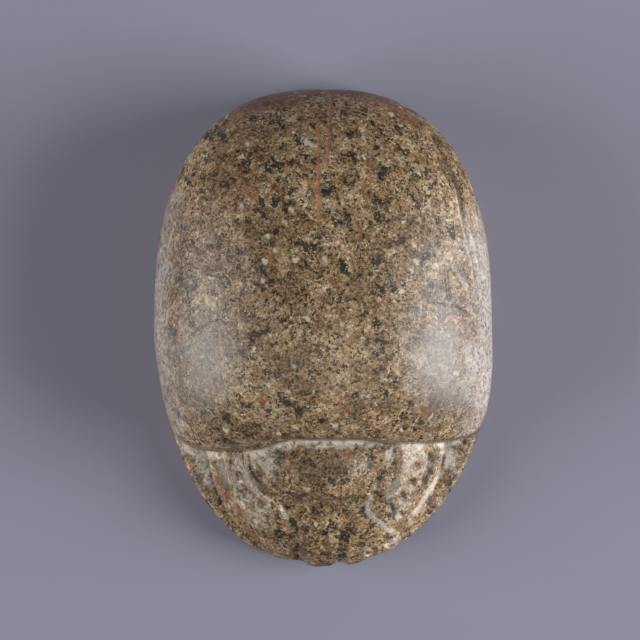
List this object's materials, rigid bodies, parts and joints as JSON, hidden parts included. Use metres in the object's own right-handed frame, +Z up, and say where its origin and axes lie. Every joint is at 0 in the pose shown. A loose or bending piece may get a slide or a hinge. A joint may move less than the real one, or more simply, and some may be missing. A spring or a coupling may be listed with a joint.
{
  "type": "scarab amulet",
  "caption": "Carved stone beetle amulet: domed back with worn wing-case lines, head, snout and folded legs in relief on a thin oval base with a flat plain underside.",
  "frame": {"origin": "middle of the flat underside's bounding box", "axes": "+Z up out of the back, -Y towards the head, +Y towards the tail, +X to the right when seen from above with the head nearest"},
  "size_m": [0.0411, 0.058, 0.024],
  "materials": {
    "speckled_stone": "fine-grained brown stone speckled with dark green-black, rust and cream grains, worn to a soft polish on the back, pale deposit in the carving"
  },
  "bodies": {
    "root": {"scarab": "speckled_stone"}
  },
  "joints": []
}
